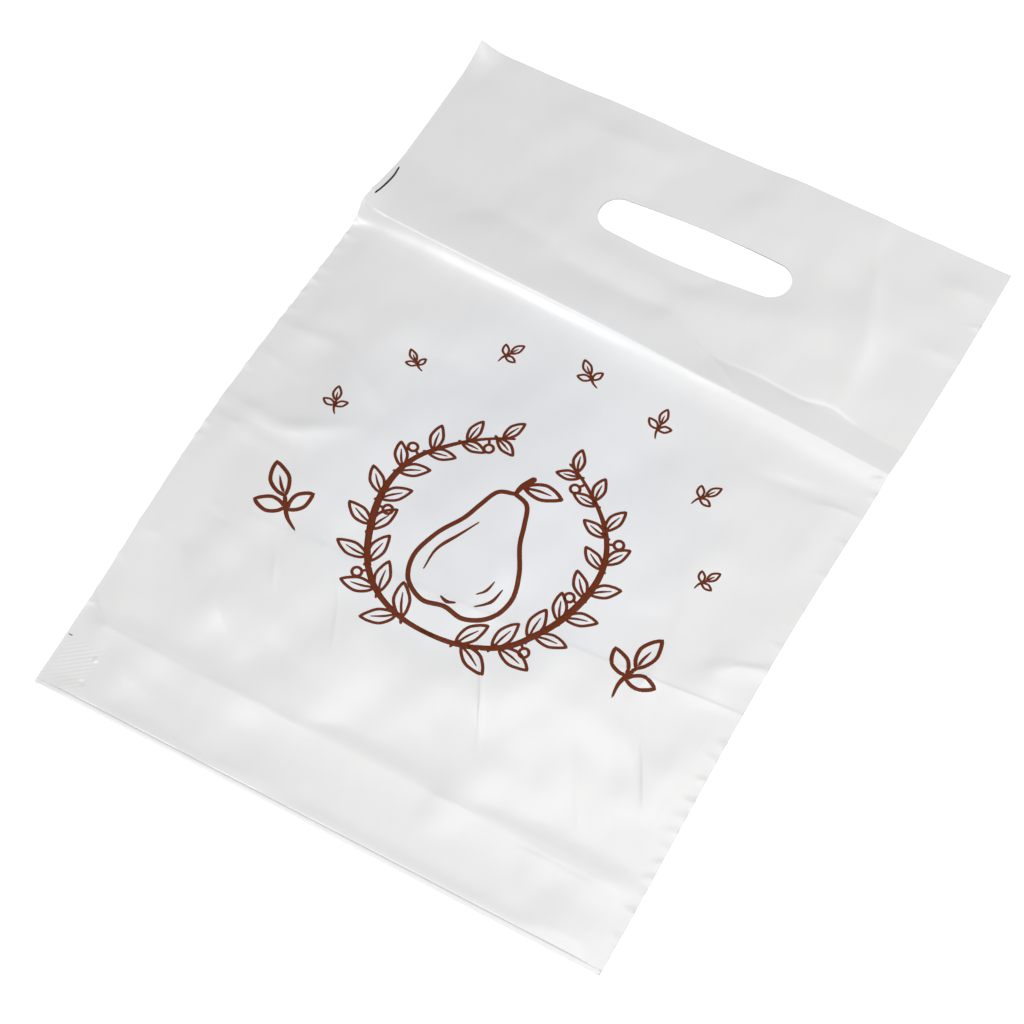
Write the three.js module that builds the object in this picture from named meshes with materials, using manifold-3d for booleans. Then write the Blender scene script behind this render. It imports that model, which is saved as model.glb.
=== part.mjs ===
// A die-cut carrier bag of thin film, lying on its back panel as it comes to rest.
// One length of film makes all of it: the front panel, a gusset folded in at the bottom and the
// back panel. The two sides are welded, the mouth is open, and the handle slot is punched
// through both panels.
// Millimetres. X runs across the bag, Y from the bottom fold to the mouth, Z up from the surface
// that the bag lies on. The origin is under the middle of the bag.

import * as THREE from 'three';
import { mergeVertices } from 'three/addons/utils/BufferGeometryUtils.js';
import Module from 'manifold-3d';

// The bag as it is made
const bagWidth = 250;            // over both side welds
const bagLength = 350;           // back bottom fold to mouth
const filmThickness = 0.05;
const weldWidth = 1.2;           // melted strip along each side
const weldBead = 0.15;           // rounded edge of the weld, past the film
const gussetDepth = 34.5;        // back bottom fold to the gusset's inner fold
const frontFoldSetback = 2.6;    // the front bottom fold lies this far above the back one
const layerPitch = 0.4;          // one layer to the next where they lie folded together

// The handle slot
const slotLength = 87.5;
const slotHeight = 21;           // in the middle
const slotBulge = 1.4;           // its long sides bow out this much
const slotEndRadius = 8.5;
const slotBelowMouth = 50.2;     // mouth to the slot's centre line
const slotAside = 4.5;           // the slot sits this far right of the middle
const slotTurn = 1.7;            // degrees that its right end sits higher

// The crease that stands up across both panels, left from folding the bag for its packet
const creaseFromBottomLeft = 249.5;
const creaseFromBottomRight = 240;
const creaseHeightLeft = 5;
const creaseHeightRight = 2.8;
const creaseFlare = 4;           // it stands this much higher at the left weld
const creaseFlareReach = 22;
const creaseFrontSlope = 21;     // how far it falls away towards the bottom
const creaseBackSlope = 36;      // how far it falls away towards the mouth

// The second packet fold, nearly flat again, that only the front panel still shows
const fadedFromBottomLeft = 99.5;
const fadedFromBottomRight = 118;
const fadedHeight = 0.9;
const fadedSlope = 14;

// How the film lies loose
const archHeightLeft = 5;        // the packet folds make both panels stand up between them
const archHeightRight = 4;
const archFromBottom = 130;
const archHalfLength = 112;
const mouthWaveHeight = 3.5;     // low wave in the film beside the slot
const mouthWaveLength = 190;
const mouthWaveCentre = 35;
const mouthWaveStart = 268;      // the wave grows from here to the mouth
const cornerLift = 5;            // the top left corner is turned up
const cornerReach = 20;
const panelLooseness = 2.2;      // the front panel stands off the back one in the middle
const looseReach = 45;           // it does so fully this far above the gusset
const mouthCloseness = 0.6;      // share of that which is gone at the mouth
const frontFoldSpring = 0.9;     // the front bottom fold springs open into a low roll
const frontFoldReach = 6;

// Fineness of the facets
const stationsAcross = 18;
const foldSteps = 6;
const rowsToFaded = 5;
const rowsToCrease = 13;
const rowsToMouth = 10;
const creaseCrowding = 1.6;      // above 1, rows crowd towards the crease
const slotArcSteps = 10;
const releaseLength = 7;         // the front panel drops off the gusset's edge over this length

const filmEdge = bagWidth / 2 - weldBead;
const foldRadius = layerPitch / 2;
const frontFoldRadius = foldRadius + frontFoldSpring / 2;
const lowestFilm = filmThickness / 2;

const mix = (a, b, share) => a + (b - a) * share;
const ease = (share) => THREE.MathUtils.smoothstep(share, 0, 1);
const rightward = (x) => (x + bagWidth / 2) / bagWidth;
const creaseLine = (x) => mix(creaseFromBottomLeft, creaseFromBottomRight, rightward(x));
const fadedLine = (x) => mix(fadedFromBottomLeft, fadedFromBottomRight, rightward(x));

// A slope that starts steeply at 0 and runs out level at reach
function runOut(distance, reach) {
  return Math.max(0, 1 - distance / reach) ** 2;
}

// A round hump, 1 in the middle and 0 from halfLength on
function hump(distance, halfLength) {
  const share = Math.min(Math.abs(distance) / halfLength, 1);
  return Math.cos(share * Math.PI / 2) ** 2;
}

function creaseRise(x, y) {
  const flare = creaseFlare * runOut(x + bagWidth / 2, creaseFlareReach);
  const height = mix(creaseHeightLeft, creaseHeightRight, rightward(x)) + flare;
  const past = y - creaseLine(x);
  return height * (past < 0 ? runOut(-past, creaseFrontSlope) : runOut(past, creaseBackSlope));
}

function archRise(x, y) {
  return mix(archHeightLeft, archHeightRight, rightward(x)) * hump(y - archFromBottom, archHalfLength);
}

function mouthRise(x, y) {
  const along = ease((y - mouthWaveStart) / (bagLength - mouthWaveStart));
  const wave = mouthWaveHeight * along * hump(x - mouthWaveCentre, mouthWaveLength / 2);
  const fromCorner = Math.hypot(x + bagWidth / 2, bagLength - y);
  return wave + cornerLift * runOut(fromCorner, cornerReach);
}

// Height of the back panel's film at a point of the bag
function backHeight(x, y) {
  return lowestFilm + creaseRise(x, y) + archRise(x, y) + mouthRise(x, y);
}

// Distance from the back panel's film up to the front panel's
function panelGap(x, y) {
  const acrossBag = Math.cos(Math.PI * x / bagWidth);
  const roll = frontFoldSpring * acrossBag * runOut(Math.max(y - frontFoldSetback, 0), frontFoldReach);
  const overGusset = 3 * layerPitch + roll;
  const awayFromGusset = ease((y - gussetDepth) / looseReach);
  const towardsMouth = 1 - mouthCloseness * ease((y - mouthWaveStart) / (bagLength - mouthWaveStart));
  const faded = fadedHeight * runOut(Math.abs(y - fadedLine(x)), fadedSlope);
  const loose = layerPitch + (panelLooseness * awayFromGusset * towardsMouth + faded) * acrossBag;
  return mix(overGusset, loose, ease((y - gussetDepth) / releaseLength));
}

// Shares from 0 to 1 in so many steps, crowded towards 1
function crowded(steps) {
  return Array.from({ length: steps }, (_, i) => 1 - (1 - (i + 1) / steps) ** creaseCrowding);
}

// Distances from the bottom fold at which a panel has points, beyond its fold. The gusset's
// leaves share the first few.
function panelRows(x) {
  const release = gussetDepth + releaseLength;
  const rollEnd = frontFoldSetback + frontFoldReach;
  const rollMiddle = mix(frontFoldSetback, rollEnd, 0.55);
  const gusset = [rollMiddle, rollEnd, mix(rollEnd, gussetDepth, 0.5), gussetDepth, release];
  const toFaded = crowded(rowsToFaded).map((share) => mix(release, fadedLine(x), share));
  const toCrease = crowded(rowsToCrease).map((share) => mix(fadedLine(x), creaseLine(x), share));
  const toMouth = crowded(rowsToMouth).map((share) => 1 - share).reverse().slice(1);
  const rest = [...toMouth, 1].map((share) => mix(creaseLine(x), bagLength, share));
  return [...gusset, ...toFaded, ...toCrease, ...rest];
}

// Half a turn of film round a fold, from the upper layer's end to the lower layer's, both of
// them points [y, z]. side is -1 at a bottom fold and 1 at the gusset's inner fold.
function foldTurn(upper, lower, side) {
  const radius = (upper[1] - lower[1]) / 2;
  const turn = [upper];
  for (let step = 1; step < foldSteps; step += 1) {
    const angle = Math.PI * (0.5 - step / foldSteps);
    const out = side * radius * Math.cos(angle);
    turn.push([upper[0] + out, lower[1] + radius * (1 + Math.sin(angle))]);
  }
  return [...turn, lower];
}

// The film's middle line where the plane at x cuts it, from the front panel's mouth round the
// three folds to the back panel's mouth. Points are [y, z].
function filmLine(x) {
  const rows = panelRows(x);
  const layer = (y, number) => [y, backHeight(x, y) + number * layerPitch];
  const frontRow = (y) => [y, backHeight(x, y) + panelGap(x, y)];
  const backRow = (y) => [y, backHeight(x, y)];
  const leafRows = rows.slice(0, 3);
  const frontFold = frontFoldSetback + frontFoldRadius + lowestFilm;
  const innerFold = gussetDepth - foldRadius;
  const backFold = foldRadius + lowestFilm;
  return [
    ...rows.map(frontRow).reverse(),
    ...foldTurn(frontRow(frontFold), layer(frontFold, 2), -1),
    ...leafRows.map((y) => layer(y, 2)),
    ...foldTurn(layer(innerFold, 2), layer(innerFold, 1), 1),
    ...leafRows.map((y) => layer(y, 1)).reverse(),
    ...foldTurn(layer(backFold, 1), backRow(backFold), -1),
    ...rows.map(backRow),
  ];
}

// The same line moved sideways by offset, with its corners mitred
function offsetLine(line, offset) {
  const sideOf = (a, b) => {
    const length = Math.hypot(b[0] - a[0], b[1] - a[1]);
    return [(b[1] - a[1]) / length, (a[0] - b[0]) / length];
  };
  return line.map((point, i) => {
    const before = sideOf(line[Math.max(i - 1, 0)], line[Math.max(i, 1)]);
    const after = sideOf(line[Math.min(i, line.length - 2)], line[Math.min(i + 1, line.length - 1)]);
    const mitre = offset / (1 + before[0] * after[0] + before[1] * after[1]);
    return [point[0] + (before[0] + after[0]) * mitre, point[1] + (before[1] + after[1]) * mitre];
  });
}

// Places across the bag where it is cut into sections, closest together at the welds
function stations() {
  const inner = filmEdge - weldWidth;
  const across = Array.from({ length: stationsAcross + 1 }, (_, i) => (
    -inner * Math.cos(Math.PI * i / stationsAcross)
  ));
  return [-filmEdge, ...across, filmEdge];
}

// A closed solid between two sheets of points, sheet[station][row], each point an [x, y, z].
// The outer sheet faces away from the inner one. From the row middle on, facets are cut along
// the other diagonal, so that the back of the bag mirrors the front.
function solidBetween(outer, inner, middle) {
  const rows = outer[0].length;
  const points = [...outer, ...inner].flat();
  const innerStart = outer.length * rows;
  const place = (station, row) => station * rows + row;
  const triangles = [];
  const quad = (a, b, c, d) => triangles.push(a, b, c, a, c, d);
  const last = outer.length - 1;
  for (let j = 0; j < last; j += 1) {
    for (let i = 0; i < rows - 1; i += 1) {
      const ring = [place(j, i), place(j, i + 1), place(j + 1, i + 1), place(j + 1, i)];
      const corners = i < middle ? ring : [ring[1], ring[2], ring[3], ring[0]];
      quad(...corners);
      const [a, b, c, d] = corners.map((corner) => corner + innerStart);
      triangles.push(a, c, b, a, d, c);
    }
    quad(place(j, 0), place(j + 1, 0), place(j + 1, 0) + innerStart, place(j, 0) + innerStart);
    const [end, nextEnd] = [place(j, rows - 1), place(j + 1, rows - 1)];
    quad(end, end + innerStart, nextEnd + innerStart, nextEnd);
  }
  for (let i = 0; i < rows - 1; i += 1) {
    const [a, b] = [place(0, i), place(0, i + 1)];
    quad(a, a + innerStart, b + innerStart, b);
    const [c, d] = [place(last, i), place(last, i + 1)];
    quad(c, d, d + innerStart, c + innerStart);
  }
  const geometry = new THREE.BufferGeometry();
  geometry.setAttribute('position', new THREE.Float32BufferAttribute(points.flat(), 3));
  geometry.setIndex(triangles);
  return geometry;
}

const sheetOf = (places, lineAt) => places.map((x) => lineAt(x).map(([y, z]) => [x, y, z]));

// The film itself, with its layers still apart at the sides
function foldedFilm() {
  const places = stations();
  const outer = sheetOf(places, (x) => offsetLine(filmLine(x), filmThickness / 2));
  const inner = sheetOf(places, (x) => offsetLine(filmLine(x), -filmThickness / 2));
  return solidBetween(outer, inner, (outer[0].length - 1) / 2);
}

// The melted strip that joins all layers along one side, and its bead past the film's edge.
// side is -1 on the left and 1 on the right.
function sideWeld(side) {
  const panelPoints = panelRows(0).length + 1;
  const short = ([y, z], i) => [i === 0 ? y - weldBead : y, z];
  const front = (x) => filmLine(x).slice(0, panelPoints).map(short);
  const back = (x) => filmLine(x).slice(-panelPoints).reverse().map(short);
  const places = [filmEdge, filmEdge - weldWidth].map((x) => x * side).sort((a, b) => a - b);
  const bead = (sheet) => {
    const edge = side < 0 ? sheet[0] : sheet[sheet.length - 1];
    const beyond = edge.map(([x, y, z]) => [x + side * weldBead, y, z]);
    return side < 0 ? [beyond, ...sheet] : [...sheet, beyond];
  };
  return solidBetween(bead(sheetOf(places, front)), bead(sheetOf(places, back)), panelPoints);
}

// The punch that cuts the handle slot, tall enough to pass both panels
function slotPunch() {
  const endHeight = slotHeight / 2 - slotBulge;
  const radius = Math.min(slotEndRadius, endHeight);
  const endAcross = slotLength / 2 - radius;
  const endAlong = endHeight - radius;
  const outline = new THREE.Shape();
  outline.absarc(endAcross, endAlong, radius, 0, Math.PI / 2);
  outline.quadraticCurveTo(0, endHeight + 2 * slotBulge, -endAcross, endHeight);
  outline.absarc(-endAcross, endAlong, radius, Math.PI / 2, Math.PI);
  outline.absarc(-endAcross, -endAlong, radius, Math.PI, Math.PI * 1.5);
  outline.quadraticCurveTo(0, -endHeight - 2 * slotBulge, endAcross, -endHeight);
  outline.absarc(endAcross, -endAlong, radius, Math.PI * 1.5, Math.PI * 2);
  outline.closePath();
  const reach = creaseHeightLeft + mouthWaveHeight + panelLooseness;
  const punch = new THREE.ExtrudeGeometry(outline, {
    depth: 2 * reach,
    bevelEnabled: false,
    curveSegments: slotArcSteps,
  });
  punch.rotateZ(THREE.MathUtils.degToRad(slotTurn));
  return punch.translate(slotAside, bagLength - slotBelowMouth, -reach);
}

const wasm = await Module();
wasm.setup();

function toSolid(geometry) {
  geometry.deleteAttribute('normal');
  geometry.deleteAttribute('uv');
  const merged = mergeVertices(geometry, 1e-5);
  return new wasm.Manifold(new wasm.Mesh({
    numProp: 3,
    vertProperties: merged.attributes.position.array,
    triVerts: Uint32Array.from(merged.index.array),
  }));
}

function toGeometry(solid) {
  const mesh = solid.getMesh();
  const geometry = new THREE.BufferGeometry();
  geometry.setAttribute('position', new THREE.BufferAttribute(mesh.vertProperties, 3));
  geometry.setIndex(new THREE.BufferAttribute(mesh.triVerts, 1));
  geometry.computeVertexNormals();
  return geometry;
}

function carrierBag() {
  const welded = toSolid(foldedFilm()).add(toSolid(sideWeld(-1))).add(toSolid(sideWeld(1)));
  const film = new THREE.MeshStandardMaterial({ color: 0xe6eaee, roughness: 0.42, metalness: 0 });
  const bag = new THREE.Mesh(toGeometry(welded.subtract(toSolid(slotPunch()))), film);
  bag.name = 'carrier_bag';
  bag.position.y = -bagLength / 2;
  return bag;
}

const group = new THREE.Group();
group.add(carrierBag());
export default group;
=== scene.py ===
"""A die-cut carrier bag of thin white film, lying on its back panel.

The film is cut flat in one length, triangulated, folded over its three folds at the bottom and
given its thickness. The melted side welds, the print and two dark marks of painted shade are pieces on it.

Lengths of the bag are in millimetres, with places measured across it from the left edge and
along it from the bottom fold. MM turns them into metres.
"""

import math
from collections import namedtuple

import bpy
import numpy as np
from mathutils import Matrix, Vector
from mathutils.geometry import delaunay_2d_cdt
from mathutils.kdtree import KDTree

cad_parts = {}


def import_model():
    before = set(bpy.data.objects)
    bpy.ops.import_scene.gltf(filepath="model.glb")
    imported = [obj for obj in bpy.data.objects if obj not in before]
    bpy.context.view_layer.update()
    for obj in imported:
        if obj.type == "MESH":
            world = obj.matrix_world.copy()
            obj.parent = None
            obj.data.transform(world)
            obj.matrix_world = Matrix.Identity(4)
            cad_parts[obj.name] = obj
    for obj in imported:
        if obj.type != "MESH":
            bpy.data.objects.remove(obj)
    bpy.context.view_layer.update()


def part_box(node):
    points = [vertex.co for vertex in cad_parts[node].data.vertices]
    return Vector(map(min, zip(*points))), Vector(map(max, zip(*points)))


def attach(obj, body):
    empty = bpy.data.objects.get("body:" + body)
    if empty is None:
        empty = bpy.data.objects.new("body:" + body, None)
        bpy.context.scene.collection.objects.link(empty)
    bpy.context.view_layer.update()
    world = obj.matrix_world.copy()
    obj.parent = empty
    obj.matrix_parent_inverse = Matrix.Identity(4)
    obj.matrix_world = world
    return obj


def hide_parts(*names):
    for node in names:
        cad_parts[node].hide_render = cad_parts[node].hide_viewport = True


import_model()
LOW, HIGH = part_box("carrier_bag")

MM = 0.001
BAG_WIDTH = (HIGH.x - LOW.x) / MM
BAG_LENGTH = (HIGH.y - LOW.y) / MM

# The camera's place and axes, as the bag was photographed
CAMERA_PLACE = Vector((0.34227, -0.58397, 1.17427))
CAMERA_RIGHT = Vector((0.87009, 0.49259, -0.01727))
CAMERA_UP = Vector((-0.42218, 0.76289, 0.48966))
FIELD_OF_VIEW = math.radians(17.14)

# A point raised off the floor is seen this far from its place, for each millimetre of height
SEEN_ACROSS = -0.292
SEEN_ALONG = 0.48

# The film and its folds
FILM_THICKNESS = 0.05
WELD_WIDTH = 1.2
BEAD_OVER = 0.02  # the melted bead stands this far past the layers
BEAD_RAISED = 0.015
BEAD_HALF_MOST = 0.3
FRONT_FOLD = 2.2  # the front bottom fold's centre
INNER_FOLD = 33.6  # the gusset's inner fold
BACK_FOLD = 0.3
FOLD_FILM = 2.0  # film in each turn
LAYER_GAP = 0.13  # between layers pressed together
INNER_SPRING = 0.9  # how far the inner fold springs open
INNER_SPRING_REACH = 16.0
FRONT_FOLD_REACH = 6.0  # the front fold keeps creases away over this distance
SOFT_MEET = 0.2  # the front panel comes to rest softly on what is below
BULGE = 0.9  # the layers bulge up under the front fold
BULGE_BELOW = 2.5  # from this far below it
BULGE_ABOVE = 7.0  # to this far above it
BACK_FLAT_REACH = 12.0  # the back panel's ripples set in over this distance past the inner fold
SIDE_REACH = 13.0  # the layers part over this distance from the welds

# The handle slot
SLOT_LENGTH = 87.5
SLOT_HEIGHT = 20.0  # in the middle
SLOT_BULGE = 1.4  # its long sides bow out this much
SLOT_END_RADIUS = 8.5
SLOT_BELOW_MOUTH = 49.6
SLOT_ASIDE = 4.5
SLOT_TURN = math.radians(1.9)
SLOT_PRESS = 0.75  # the punch pressed the panels together round it
SLOT_PRESS_REACH = 14.0

# The crease that stands up across both panels
CREASE_LEFT = 250.5
CREASE_RIGHT = 241.0
CREASE_HEIGHT_LEFT = 5.0
CREASE_HEIGHT_RIGHT = 2.8
CREASE_FLARE = 2.6  # it stands this much higher at the left weld
CREASE_FLARE_REACH = 14.0
CREASE_FRONT_REACH = 20.0
CREASE_FRONT_REACH_LEFT = 13.0
CREASE_CALM = 0.85  # share of the film's ripples that the crease pulls out
CREASE_CALM_REACH = 38.0
CREASE_CALM_BELOW = 4.0  # below the crest, in the middle
CREASE_FOOT_ACROSS = (0, 38, 70, 86, 120, 136, 160, 205, 250)
CREASE_FOOT_ALONG = (284, 282, 275, 268.5, 267.5, 269, 256.5, 256.5, 254.5)

# How the film lies loose
ARCH_LEFT = 5.0  # both panels stand up between the packet folds
ARCH_RIGHT = 4.0
ARCH_ALONG = 130.0
ARCH_HALF_LENGTH = 112.0
BOW = -3.0  # both sides run this far left of straight at mid length
BOW_ALONG = 150.0
BOW_HALF_LENGTH = 190.0
MOUTH_WAVE = 1.0
MOUTH_WAVE_ACROSS = 160.0
MOUTH_WAVE_HALF = 95.0
MOUTH_WAVE_START = 268.0
MOUTH_SKEW = 3.2  # the mouth is cut this much askew, over its last stretch
MOUTH_SKEW_START = 315.0
EDGE_INSET = 0.4  # the welds' beads keep within the bag's width
CORNER_LIFT = 5.0
CORNER_REACH = 20.0
LOOSENESS = 2.0
MOUTH_CLOSENESS = 0.6
LOOSE_START = 38.0
LOOSE_REACH = 45.0
GUSSET_RELEASE = 9.0  # the front panel eases off the gusset over this distance
RELIEF = 1.5  # height of every crease and bend below, times this

# The film's colour, a little cooler round the print
WARM_FILM = (0.842, 0.838, 0.836, 1.0)
COOL_FILM = (0.822, 0.836, 0.862, 1.0)
COOL_CENTRE = (118, 165)
COOL_REACH = 120.0

# The faintest wrinkles, which only the film's relief shows, run down to the right
WRINKLE_TURN = math.radians(-60)
WRINKLE_STRETCH = 3.0
WRINKLE_DEPTH = 40.0

FLOOR_GLOW = 0.7  # lifts the floor to white where the camera sees it

# The print's strokes, and the strokes of painted shade, lie this far into the film and above it
STROKE_DEPTH = 0.004
STROKE_HEIGHT = 0.09
INK_CORE = (0.15, 0.022, 0.001)
INK_EDGE = (0.055, 0.006, 0.0)
STROKE_STEP = 0.5

# The wreath of leaves, as it is seen, and what stands in and round it
WREATH_CENTRE = (122, 139)
WREATH_RADIUS = 47.0
WREATH_PAIRS = 9
PEAR_CENTRE = (122, 133.5)
SPRIG_CENTRE = (122, 148)
SPRIG_AWAY = (86, 77)
SPRIG_TURNS = (12, 40, 66, 90, 114, 140, 168, 205, 335)

# The corner that the sealing bar marked with fine slanting ridges
HATCH_CORNER = (0.5, 1.5, 19.0, 25.0)
HATCH_PITCH = 1.7
HATCH_HEIGHT = 0.06
HATCH_TURN = math.radians(37)

# Creases and bends as the photograph shows them: the route of each crest, its height, or its
# depth where it is negative, and how far its two flanks run, left and right of the route
CREASES = (
    # The second packet fold, nearly flat again
    (((-6, 101.8), (10, 102.5), (80, 107), (150, 112), (210, 117.5), (256, 121)), 0.22, 1.3, 13),
    (((196, 116.7), (215, 118), (240, 120), (262, 121.6)), 0.16, 0.9, 5),
    # Sharp creases of the lower right quarter
    (((212, 99), (222, 84), (238, 54)), 0.3, 5, 1.5),
    (((138, 105), (151, 84), (165, 57)), 0.28, 4.5, 1.5),
    (((196, 80), (206, 61), (218, 42)), 0.16, 3, 2.5),
    (((79, 96), (86, 85), (95, 65)), 0.14, 3, 2),
    (((52, 94), (60, 79)), 0.14, 3, 2),
    (((130, 150), (141, 131), (152, 112)), 0.16, 3.5, 2.5),
    (((127, 139), (135, 121), (142, 103)), 0.2, 5, 4),
    # The foot of the standing crease's far side, and folds over the gusset
    (((-4, 287), (20, 284), (40, 281), (60, 276), (76, 274.5), (86, 269), (120, 267.5),
      (138, 270), (158, 258)), -0.55, 7, 12),
    (((14, 23), (45, 13), (80, 6), (104, 2)), 0.35, 5, 4),
    # The valley behind the right half of the standing crease, and the wedge at its end
    (((150, 260), (162, 256), (178, 247)), 0.35, 4, 2.5),
    (((160, 257.5), (182, 258.2), (200, 256.8), (214, 258.8), (230, 255.8), (252, 255.3)), -0.3, 2, 4),
    # Below the right end of the standing crease
    (((196, 218), (212, 219), (226, 221.5), (250, 225.5)), -0.7, 4.5, 7),
    (((226, 216), (240, 219), (252, 219)), 0.35, 3, 6),
    # Waves along the left edge
    (((-6, 174), (5, 170.8), (15, 169.5), (24, 170)), 0.6, 4.5, 10),
    (((-8, 149), (12, 145), (30, 146), (54, 160)), 1.2, 8, 11),
    (((-6, 186), (12, 187.5), (26, 188), (42, 178), (58, 169)), 1.1, 8, 10),
    (((40, 199), (62, 201), (86, 204)), -0.5, 6, 6),
    (((-6, 138), (14, 136), (34, 133)), 0.8, 5, 9),
    (((8, 100), (18, 98.5), (30, 96)), -0.35, 3, 4),
    # The pucker at the right edge and the long soft streak beside it
    (((222, 131.5), (236, 138), (256, 146)), 0.8, 3.5, 9),
    (((211, 150), (218, 141), (227, 131)), -0.4, 5, 4),
    (((195, 170), (205, 150), (207.5, 125), (206, 107), (213, 88), (224, 66)), 0.45, 9, 7),
    # Beside the right weld
    (((238, 3), (238.4, 60), (238.8, 124)), 0.16, 3, 1.6),
    # Above the gusset, on the left
    (((-4, 49), (4, 41), (12, 34)), 0.3, 3, 3),
    (((16, 82), (38, 68), (66, 48)), 1.2, 13, 17),
    (((-6, 78), (14, 79), (36, 74)), 0.55, 12, 12),
    # Over the gusset
    (((172, 30.6), (200, 31), (232, 30.6)), 0.12, 1.2, 5),
    (((12, 31), (22, 25), (36, 19), (54, 13)), 0.55, 7, 5),
    # Around the slot and at the mouth
    (((190, 352), (206, 312), (214, 284), (215, 256)), 1.1, 9, 18),
    (((226, 303), (240, 303), (254, 303)), 0.5, 14, 8),
    (((220, 333), (238, 334), (254, 335)), 0.5, 10, 9),
    (((84, 307), (104, 309), (128, 310)), 0.35, 7, 5),
    (((40, 338), (70, 334), (104, 338)), 0.5, 12, 16),
    (((48, 300), (72, 290), (98, 280)), 0.4, 14, 12),
)

# Small bumps and hollows: place, height, the two half lengths and the long one's turn in degrees
MOUNDS = (
    ((245, 238.5), 0.6, 3.0, 1.6, 20),
    ((128, 284), 0.16, 1.3, 0.6, 25),
    ((11, 99.5), -0.35, 4.0, 2.2, 0),
    ((15.6, 19.5), 0.3, 1.9, 1.4, -30),
    ((16.1, 8.6), -0.2, 2.0, 1.4, -30),
    ((104, 4.5), -0.4, 1.0, 3.0, 0),
    ((175, 70), 0.12, 16, 9, 60),
    ((110, 160), -0.3, 30, 20, 80),
    ((152, 335), 0.3, 22, 10, 10),
)

# Where the welds pucker the film, along the bag
LEFT_PUCKERS = (262, 245, 237, 229, 218, 211, 204, 195, 188, 163, 144, 132, 125, 114, 82, 64, 40)
RIGHT_PUCKERS = (322, 296, 231, 206, 190, 172, 153, 106, 98, 89, 79, 72, 65, 58, 51, 44, 37, 28.5, 17)
PUCKER_HEIGHT = 0.5
PUCKER_HALF = 2.6
PUCKER_REACH = 9.0
PUCKER_SEED = 11

# Waves that cross at random: seed, longest, shortest and height
FRONT_RIPPLES = (11, 110, 18, 1.1)
BACK_RIPPLES = (5, 90, 14, 1.0)

# Rows of points that follow a fold or a crease, this far above it
FRONT_CREASE_ROWS = (-16, -12, -8.5, -6, -4, -2.5, -1.4, -0.6, 0, 0.6, 1.4, 2.6, 4.5)
BACK_CREASE_ROWS = (-12, -7, -3.5, -1.3, 0, 1.3, 3.5)
GUSSET_EDGE_ROWS = (-2.4, -1.2, 0, 0.8, 1.6, 2.4, 3.2, 4.2, 5.4)
FRONT_FOLD_ROWS = (0.7, 1.5, 2.4, 3.4, 4.6, 6)
ROW_SPACING = 1.9
EDGE_SPACING = 1.6
SHARP_REACH = 3.0  # a crease with a flank no longer than this gets points of its own

SLOT_CENTRE = np.array([BAG_WIDTH / 2 + SLOT_ASIDE, BAG_LENGTH - SLOT_BELOW_MOUTH])
SLOT_STRAIGHT = SLOT_LENGTH / 2 - SLOT_END_RADIUS
SLOT_FLAT = SLOT_HEIGHT / 2 - SLOT_BULGE - SLOT_END_RADIUS


def ease(share):
    share = np.clip(share, 0, 1)
    return share * share * (3 - 2 * share)


def mix(a, b, share):
    return a + (b - a) * share


def to_right(left, right, across):
    """A value that runs from the bag's left edge to its right."""
    return mix(left, right, across / BAG_WIDTH)


def to_mouth(along, start):
    """0 up to start and 1 at the mouth."""
    return ease((along - start) / (BAG_LENGTH - start))


def as_rows(*columns):
    return np.column_stack(np.broadcast_arrays(*columns))


def inside(across, along, left, bottom, right, top):
    return (across > left) & (across < right) & (along > bottom) & (along < top)


def run_out(distance, reach, power=2):
    """A slope that starts at 1 with its steepest stretch and is level from reach on."""
    return np.clip(1 - distance / reach, 0, 1) ** power


def hump(distance, half):
    """A round hump, 1 in the middle and 0 from half on."""
    return np.cos(math.pi / 2 * np.clip(np.abs(distance) / half, 0, 1)) ** 2


def crease_line(across):
    return to_right(CREASE_LEFT, CREASE_RIGHT, across)


def crease_rise(across, along):
    flare = CREASE_FLARE * run_out(across, CREASE_FLARE_REACH)
    height = to_right(CREASE_HEIGHT_LEFT, CREASE_HEIGHT_RIGHT, across) + flare
    past = along - crease_line(across)
    foot = np.interp(across, CREASE_FOOT_ACROSS, CREASE_FOOT_ALONG) - crease_line(across)
    share = np.clip(past / foot, 0, 1)
    straight = ease((across - 60) / 100)
    behind = mix(1 - ease(share), 1 - share, mix(0.35, 0.9, straight))
    front_reach = mix(CREASE_FRONT_REACH_LEFT, CREASE_FRONT_REACH, ease(across / 40))
    return height * np.where(past < 0, run_out(-past, front_reach, 3), behind)


def arch_rise(across, along):
    return to_right(ARCH_LEFT, ARCH_RIGHT, across) * hump(along - ARCH_ALONG, ARCH_HALF_LENGTH)


def mouth_rise(across, along):
    wave = MOUTH_WAVE * to_mouth(along, MOUTH_WAVE_START) * hump(across - MOUTH_WAVE_ACROSS, MOUTH_WAVE_HALF)
    return wave + CORNER_LIFT * run_out(np.hypot(across, BAG_LENGTH - along), CORNER_REACH)


def ripples(across, along, seed, longest, shortest, height, count=16):
    """Shallow waves that cross at random, higher the longer they are."""
    rng = np.random.default_rng(seed)
    total = np.zeros_like(across)
    for length in np.geomspace(longest, shortest, count):
        turn = rng.uniform(0, math.pi)
        phase = rng.uniform(0, 2 * math.pi)
        way = across * math.cos(turn) + along * math.sin(turn)
        total += height * length / longest * np.sin(2 * math.pi * way / length + phase)
    return total / math.sqrt(count)


def smooth_route(route, steps=5):
    """Points on a smooth curve through the route's points."""
    points = np.array(route, float)
    padded = np.vstack([2 * points[0] - points[1], points, 2 * points[-1] - points[-2]])
    curve = [points[0]]
    for before, start, end, after in zip(padded, padded[1:], padded[2:], padded[3:]):
        for t in np.arange(1, steps + 1) / steps:
            bend = (2 * before - 5 * start + 4 * end - after) * t ** 2
            twist = (3 * start - before - 3 * end + after) * t ** 3
            curve.append(start + 0.5 * ((end - before) * t + bend + twist))
    return np.array(curve)


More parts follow.
